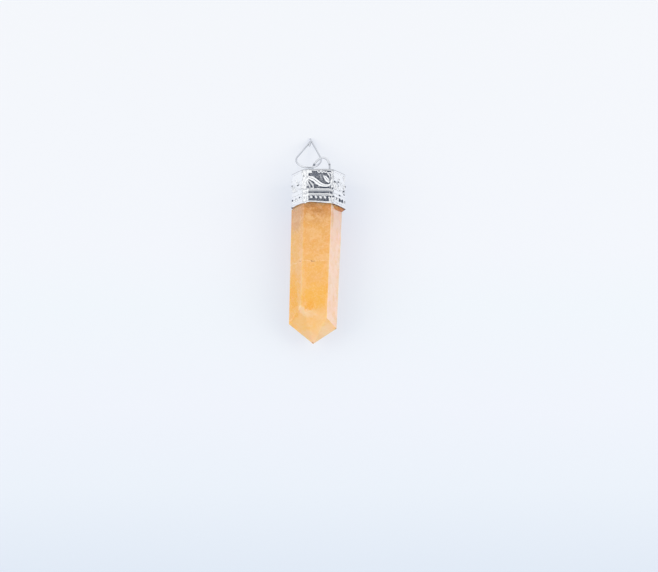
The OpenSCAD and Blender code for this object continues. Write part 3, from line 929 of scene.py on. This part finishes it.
def quartz():
    """Cloudy golden quartz: brown by the cap as painted shade, deep gold further on, pale on its right as a
    painted reflection, and pale at the tip.
    """
    made, tree, shader = material("golden_quartz")
    place = millimetres(tree)
    split = node(tree, "ShaderNodeSeparateXYZ", {0: place})
    along = node(tree, "ShaderNodeMapRange", {
        "Value": split.outputs["Y"], "From Min": RIM_Y, "From Max": STONE_TIP_Y}).outputs[0]
    soft_place = drifted(tree, place, scale=0.9, roughness=0.6, spread=2.6)
    thin_place = drifted(tree, place, scale=0.8, roughness=0.65, spread=1.1)
    normal = node(tree, "ShaderNodeTexCoord").outputs["Normal"]
    middling = noise(tree, place, *MIDDLING_NOISE)
    fine = noise(tree, place, *FINE_NOISE)
    colour = golden(tree, place, soft_place, along, middling, fine)
    colour = cracked(tree, colour, thin_place, fine)
    colour = with_pale_reflection(tree, colour, place, soft_place, normal, along, middling, fine)
    colour = flared(tree, colour, split, normal)
    rough = maths(tree, "ADD", ramp_between(tree, fine, 0.3, 0.75, 0.1), 0.04)
    waves = maths(tree, "ADD", times(tree, noise(tree, place, *WAVE_NOISE), 3.0), fine)
    fill(tree, shader, {
        "Base Color": colour, "Roughness": rough, "Normal": bump(tree, waves, 0.3, 0.012),
        "IOR": 1.54, "Transmission Weight": 0.18,
        "Subsurface Weight": 0.5, "Subsurface Radius": (1.8, 0.9, 0.45), "Subsurface Scale": MM})
    return made


# Silver, linear: its colours on the cap and the wires, how much of its specks are darker, and by how
# much; the tarnish in its hollows, which also carries the cap's painted shade, and how much it dulls them
CAP_SILVER = (0.985, 0.99, 1.0, 1)
# The wires' silver is darker than the cap's: painted shade, so the thin wires read grey
WIRE_SILVER = (0.77, 0.785, 0.82, 1)
SPECK_SHARE, SPECK_SHADE = 0.14, 0.86
TARNISH_AND_SHADE = (0.055, 0.072, 0.115, 1)
TARNISH_AND_SHADE_RAMP = [(0.12, 0.0), (0.34, 0.34), (0.6, 0.8), (0.95, 0.96)]
TARNISH_ROUGH = 0.3
# Its noises of specks and of the uneven surface: scale to a millimetre, detail, roughness
SILVER_NOISE = (4.0, 4, 0.6)
CAST_NOISE = (7.0, 4, 0.6)
# Dark spots of tarnish on the eyelet: middle and half size, in millimetres, and strength
EYELET_SPOTS = [((-0.95, 14.95, 4.6), 0.36), ((2.25, 14.5, 6.1), 0.26)]
SPOT_STRENGTH = 0.9


def silver(name, shade, darkening_attribute, rough_range, spots=()):
    """Polished silver, darker and duller where it has the attribute: tarnish in its hollows, and the cap's
    painted shade.
    """
    made, tree, shader = material(name)
    place = millimetres(tree)
    speck = noise(tree, place, *SILVER_NOISE)
    darker = tuple(SPECK_SHADE * c for c in shade[:3]) + (1,)
    colour = blend(tree, times(tree, speck, SPECK_SHARE), shade, darker)
    rough = node(tree, "ShaderNodeMapRange", {
        "Value": speck, "To Min": rough_range[0], "To Max": rough_range[1]}).outputs[0]
    if darkening_attribute:
        darkening = node(tree, "ShaderNodeAttribute", attribute_name="darkening").outputs["Fac"]
        colour = blend(tree, ramp(tree, darkening, TARNISH_AND_SHADE_RAMP), colour, TARNISH_AND_SHADE)
        rough = maths(tree, "ADD", rough, times(tree, darkening, TARNISH_ROUGH))
    for middle, half in spots:
        colour = clouded(tree, colour, place, middle, (half, half, half), TARNISH_AND_SHADE, SPOT_STRENGTH)
    uneven = bump(tree, noise(tree, place, *CAST_NOISE), 0.25, 0.02)
    fill(tree, shader, {"Base Color": colour, "Metallic": 1.0, "Roughness": rough, "Normal": uneven})
    return made


def finish_piece(piece, surface, body, slot, *nodes):
    """Gives a piece its material and body, and hides the nodes that it replaces; the slot is not used."""
    piece.data.materials.clear()
    piece.data.materials.append(surface)
    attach(piece, body)
    if nodes:
        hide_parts(*nodes)


def pendant():
    """Cap, eyelet, bail and stone."""
    cap_silver = silver("cast_silver", CAP_SILVER, True, (0.12, 0.26))
    wire_silver = silver("wire_silver", WIRE_SILVER, False, (0.05, 0.12), EYELET_SPOTS)
    finish_piece(cap_sleeve(), cap_silver, "pendant", "cap_silver", "cap")
    finish_piece(join("eyelet", eyelet()), wire_silver, "pendant", "cap_silver")
    finish_piece(join("bail_wire", bail()), wire_silver, "bail", "bail_silver", "bail")
    finish_piece(stone(), quartz(), "pendant", "stone", "crystal_point")


# Surroundings: table, soft tent light and camera

FLOOR_HALF = 1500.0
# Colour of the floor, linear, from in front of the tip to beyond the bail, and the share of it that
# comes from the light that falls on it; the rest glows from below, as on a light table
FLOOR_FROM, FLOOR_TO = -66.5, 46.0
# The ramp is painted shade: the table turns darker and bluer towards the front
FLOOR_RAMP = [
    (0.0, (0.768, 0.831, 0.922, 1)), (0.146, (0.839, 0.888, 0.956, 1)), (0.29, (0.876, 0.905, 0.970, 1)),
    (0.47, (0.880, 0.920, 0.968, 1)), (0.58, (0.900, 0.922, 0.970, 1)), (1.0, (0.913, 0.930, 0.965, 1)),
]
LIT_SHARE = (0.39, 0.35, 0.26, 1)
LIGHT_ON_FLOOR = 1.28


def floor():
    """Wide pale table that glows a little."""
    h = FLOOR_HALF
    table = mesh_object("table", [(-h, -h, 0), (h, -h, 0), (h, h, 0), (-h, h, 0)], [(0, 1, 2, 3)], False)
    made, tree, shader = material("pale_table")
    share = node(tree, "ShaderNodeMapRange", {
        "Value": split_y(tree, millimetres(tree)), "From Min": FLOOR_FROM, "From Max": FLOOR_TO}).outputs[0]
    colour = ramp(tree, share, FLOOR_RAMP)
    glowing = tuple(1 - LIGHT_ON_FLOOR * c for c in LIT_SHARE[:3]) + (1,)
    fill(tree, shader, {
        "Base Color": blend(tree, 1.0, colour, LIT_SHARE, "MULTIPLY"),
        "Emission Color": blend(tree, 1.0, colour, glowing, "MULTIPLY"), "Emission Strength": 1.0,
        "Roughness": 0.9, "Specular IOR Level": 0.0})
    table.data.materials.append(made)


# Tent: its light, its dim parts low down, and how dim the left, back and front are
TENT_LIGHT = (1.03, 1.04, 1.05, 1)
TENT_DIM = (0.30, 0.32, 0.36, 1)
LEFT_DIM_SHARE, BACK_DIM_SHARE, FRONT_DIM_SHARE = 0.6, 0.8, 0.35
# Parts of a direction where a side starts to count and where it counts fully
SIDE_FROM, SIDE_FULL = 0.3, 0.75
# Dark of the room in the tent's open top: colour, way there, and where it starts and is full, in
# degrees from its middle
OVERHEAD_DARK = (0.07, 0.088, 0.13, 1)
DARK_TOWARD = Vector((0.03, 0.22, 0.975)).normalized()
OPEN_FROM, OPEN_FULL = 24, 15


def surroundings():
    """White tent all round, dim low down to both sides, with the dark of the room straight above."""
    world = bpy.data.worlds.new("tent")
    bpy.context.scene.world = world
    world.use_nodes = True
    tree = world.node_tree
    way = node(tree, "ShaderNodeTexCoord").outputs["Generated"]
    x, y, z = node(tree, "ShaderNodeSeparateXYZ", {0: way}).outputs
    left = ramp_between(tree, x, -SIDE_FROM, -SIDE_FULL, LEFT_DIM_SHARE)
    right = ramp_between(tree, x, SIDE_FROM, SIDE_FULL)
    front = ramp_between(tree, y, -SIDE_FROM, -SIDE_FULL, FRONT_DIM_SHARE)
    back = ramp_between(tree, y, SIDE_FROM, SIDE_FULL, BACK_DIM_SHARE)
    dim = maths(tree, "ADD", maths(tree, "ADD", left, right), front)
    dim = times(tree, ramp_between(tree, z, 0.48, 0.16), dim)
    back = times(tree, ramp_between(tree, z, 0.2, 0.03), back)
    walls = blend(tree, maths(tree, "ADD", dim, back, clamp=True), TENT_LIGHT, TENT_DIM)
    toward = vectors(tree, "DOT_PRODUCT", {0: way, 1: DARK_TOWARD}, "Value")
    edge, full = (math.cos(math.radians(a)) for a in (OPEN_FROM, OPEN_FULL))
    share = ramp_between(tree, toward, edge, full)
    fill(tree, tree.nodes["Background"], {"Color": blend(tree, share, walls, OVERHEAD_DARK), "Strength": 1.0})


# Two soft boxes, in millimetres: name, place, power, colour
LIGHTS = [
    ("right_box", (420, -20, 330), 1.14, (1.0, 1.0, 1.0)),
    ("left_box", (-420, -20, 330), 1.02, (0.98, 0.99, 1.0)),
]
LIGHT_TARGET = Vector((0, 0, 5))
LIGHT_SIZE = 380


def lights():
    """The soft boxes; the metal shows the tent alone, so they only fill."""
    for name, place, power, colour in LIGHTS:
        lamp = bpy.data.lights.new(name, "AREA")
        lamp.shape = "RECTANGLE"
        lamp.size = LIGHT_SIZE * MM
        lamp.size_y = LIGHT_SIZE * MM
        lamp.energy = power
        lamp.color = colour
        thing = add(name, lamp)
        thing.location = Vector(place) * MM
        thing.rotation_euler = (LIGHT_TARGET - Vector(place)).to_track_quat("-Z", "Y").to_euler()
        thing.visible_glossy = False


# Camera: distance and target in millimetres, angle above the floor in degrees, lens
CAMERA_DISTANCE = 450.0
CAMERA_ELEVATION = 77.3
CAMERA_TARGET = (2.15, RIM_Y - 15.9, AXIS_Z)
CAMERA_LENS = 123.1


def camera():
    """The photo's view."""
    lens = bpy.data.cameras.new("camera")
    lens.lens = CAMERA_LENS
    lens.sensor_width = 36.0
    lens.clip_start = 0.01
    lens.clip_end = 20.0
    seat = add("camera", lens)
    up = math.radians(CAMERA_ELEVATION)
    back = Vector((0, -math.cos(up), math.sin(up)))
    target = Vector(CAMERA_TARGET)
    seat.location = (target + back * CAMERA_DISTANCE) * MM
    seat.rotation_euler = (-back).to_track_quat("-Z", "Y").to_euler()
    bpy.context.scene.camera = seat


pendant()
floor()
surroundings()
lights()
camera()
bpy.context.scene.view_settings.view_transform = "Standard"
